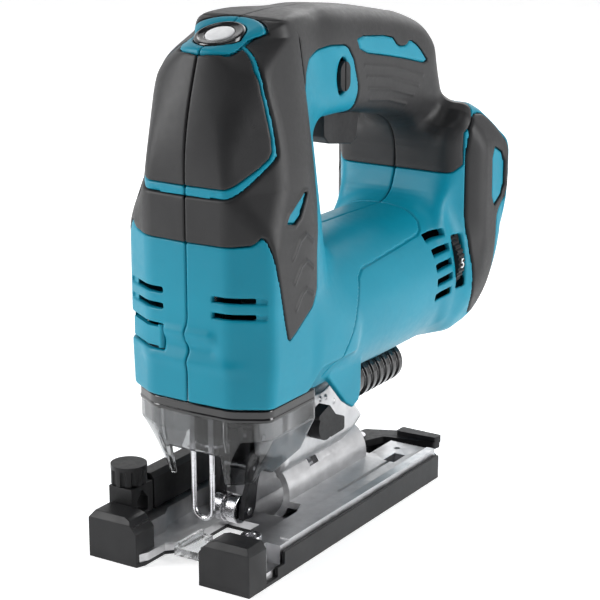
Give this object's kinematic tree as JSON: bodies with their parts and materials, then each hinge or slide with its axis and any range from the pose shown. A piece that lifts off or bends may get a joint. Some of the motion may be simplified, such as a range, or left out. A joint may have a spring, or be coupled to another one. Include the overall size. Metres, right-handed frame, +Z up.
{
  "type": "jigsaw power tool",
  "caption": "Cordless D-handle jigsaw with tilting shoe, orbital roller, tool-less blade clamp, smoked dust cover and slide-on battery bracket.",
  "frame": {"origin": "middle of the sole, in the blade plane", "axes": "+Z up from the sole, the cut runs towards -Y, the tool's left side is +X"},
  "size_m": [0.0789, 0.213, 0.2142],
  "materials": {
    "teal_shell": "moulded nylon, fine spark texture",
    "soft_grip": "overmoulded elastomer, matt",
    "black_plastic": "moulded, matt",
    "gloss_black": "moulded, polished",
    "white_plastic": "moulded",
    "smoked_clear": "smoked polycarbonate",
    "clear_plastic": "clear polycarbonate",
    "cast_aluminium": "die cast, satin",
    "steel": "turned and ground",
    "black_steel": "black oxide",
    "sintered_iron": "sintered",
    "bronze": "sintered bearing metal",
    "copper": "plated contacts",
    "board": "potted circuit board"
  },
  "bodies": {
    "tool": {"housing_left": "teal_shell", "housing_right": "teal_shell", "handle_inlay_left": "teal_shell", "handle_inlay_right": "teal_shell", "top_ring": "teal_shell", "bearing_seat": "teal_shell", "nose_cap_left": "soft_grip", "nose_cap_right": "soft_grip", "front_grip_left": "soft_grip", "front_grip_right": "soft_grip", "handle_grip_left": "soft_grip", "handle_grip_right": "soft_grip", "rear_strap_left": "soft_grip", "rear_strap_right": "soft_grip", "switch_board": "board", "switch_body": "black_plastic", "dial_spindle": "black_plastic", "controller": "board", "terminal_block": "black_plastic", "terminals": "copper", "stator": "sintered_iron", "motor_bearings": "steel", "gear_pin": "steel", "rod_bushes": "bronze", "weight_guides": "steel", "gear_housing": "cast_aluminium", "fork_pivot": "steel", "guard_wire": "steel", "lamp_lens": "clear_plastic", "dust_port": "gloss_black", "bevel_clamp": "steel", "bevel_bolt": "steel", "housing_screws": "steel"},
    "shoe": {"base_plate": "cast_aluminium", "cover_plate": "black_plastic", "splinter_insert": "clear_plastic", "base_screw": "steel", "guide_holder": "black_plastic", "lever_pin": "steel"},
    "bevel_arm": {"bevel_lever": "black_plastic"},
    "knob": {"guide_knob": "black_plastic"},
    "rod": {"reciprocating_rod": "steel", "blade_clamp": "steel"},
    "collar": {"clamp_collar": "black_steel"},
    "weight": {"counterweight": "sintered_iron"},
    "gear": {"drive_gear": "steel"},
    "motor_rotor": {"rotor": "steel", "fan": "black_plastic"},
    "fork": {"roller_fork": "black_steel", "fork_pins": "steel"},
    "support_roller": {"roller": "steel"},
    "orbit_selector": {"orbit_lever": "black_plastic"},
    "cover": {"dust_cover": "smoked_clear"},
    "opener": {"tool_opener": "teal_shell"},
    "trigger_body": {"trigger": "black_plastic"},
    "lock": {"lock_button": "black_plastic"},
    "mode": {"mode_button": "gloss_black", "button_disc": "white_plastic"},
    "dial": {"speed_dial": "black_plastic"}
  },
  "joints": [
    {"name": "base_tilt", "type": "hinge", "parent": "tool", "child": "shoe", "pos_m": [0, 0, 0.0148], "axis": [0, 1, 0], "range_deg": [-45, 12]},
    {"name": "bevel_lever_turn", "type": "hinge", "parent": "shoe", "child": "bevel_arm", "pos_m": [0, 0.066, 0], "axis": [0, 0, 1], "range_deg": [0, 70]},
    {"name": "guide_knob_turn", "type": "hinge", "parent": "shoe", "child": "knob", "pos_m": [-0.033, -0.057, 0], "axis": [0, 0, 1], "continuous": true},
    {"name": "rod_stroke", "type": "slide", "parent": "tool", "child": "rod", "axis": [0, 0, 1], "range_m": [-0.013, 0.013]},
    {"name": "clamp_twist", "type": "hinge", "parent": "rod", "child": "collar", "pos_m": [0, -0.043, 0], "axis": [0, 0, 1], "range_deg": [0, 45], "stiffness_Nm_per_rad": 0.05, "springref_deg": -11.46},
    {"name": "counterweight_slide", "type": "slide", "parent": "tool", "child": "weight", "axis": [0, 0, 1], "range_m": [-0.0039, 0.0039]},
    {"name": "gear_spin", "type": "hinge", "parent": "tool", "child": "gear", "pos_m": [0, 0, 0.11], "axis": [0, 1, 0], "continuous": true},
    {"name": "rotor_spin", "type": "hinge", "parent": "tool", "child": "motor_rotor", "pos_m": [0, 0, 0.086], "axis": [0, 1, 0], "continuous": true},
    {"name": "roller_swing", "type": "hinge", "parent": "tool", "child": "fork", "pos_m": [0, -0.026, 0.044], "axis": [1, 0, 0], "range_deg": [0, 4]},
    {"name": "roller_spin", "type": "hinge", "parent": "fork", "child": "support_roller", "pos_m": [0, -0.033, 0.0142], "axis": [1, 0, 0], "continuous": true},
    {"name": "orbit_lever_turn", "type": "hinge", "parent": "tool", "child": "orbit_selector", "pos_m": [0, 0.005, 0.042], "axis": [1, 0, 0], "range_deg": [0, 60]},
    {"name": "dust_cover_slide", "type": "slide", "parent": "tool", "child": "cover", "axis": [0, 0, 1], "range_m": [0, 0.012]},
    {"name": "tool_opener_swing", "type": "hinge", "parent": "tool", "child": "opener", "pos_m": [-0.013, -0.0594, 0.092], "axis": [0, 0, 1], "range_deg": [0, 35], "stiffness_Nm_per_rad": 0.01, "springref_deg": -17.19},
    {"name": "trigger_squeeze", "type": "slide", "parent": "tool", "child": "trigger_body", "axis": [0, 0, 1], "range_m": [0, 0.005], "stiffness_N_per_m": 900, "springref_m": -0.004},
    {"name": "lock_button_press", "type": "slide", "parent": "tool", "child": "lock", "axis": [-1, 0, 0], "range_m": [0, 0.0025], "stiffness_N_per_m": 500, "springref_m": -0.003},
    {"name": "mode_button_press", "type": "slide", "parent": "tool", "child": "mode", "axis": [0, 0.3173, -0.9483], "range_m": [0, 0.0008], "stiffness_N_per_m": 800, "springref_m": -0.002},
    {"name": "dial_turn", "type": "hinge", "parent": "tool", "child": "dial", "pos_m": [0.022, 0, 0.092], "axis": [0, 1, 0], "range_deg": [-140, 140]}
  ],
  "couplings": [
    {"joint": "rotor_spin", "follows": "gear_spin", "ratio": -5},
    {"joint": "counterweight_slide", "follows": "rod_stroke", "ratio": -0.3}
  ]
}
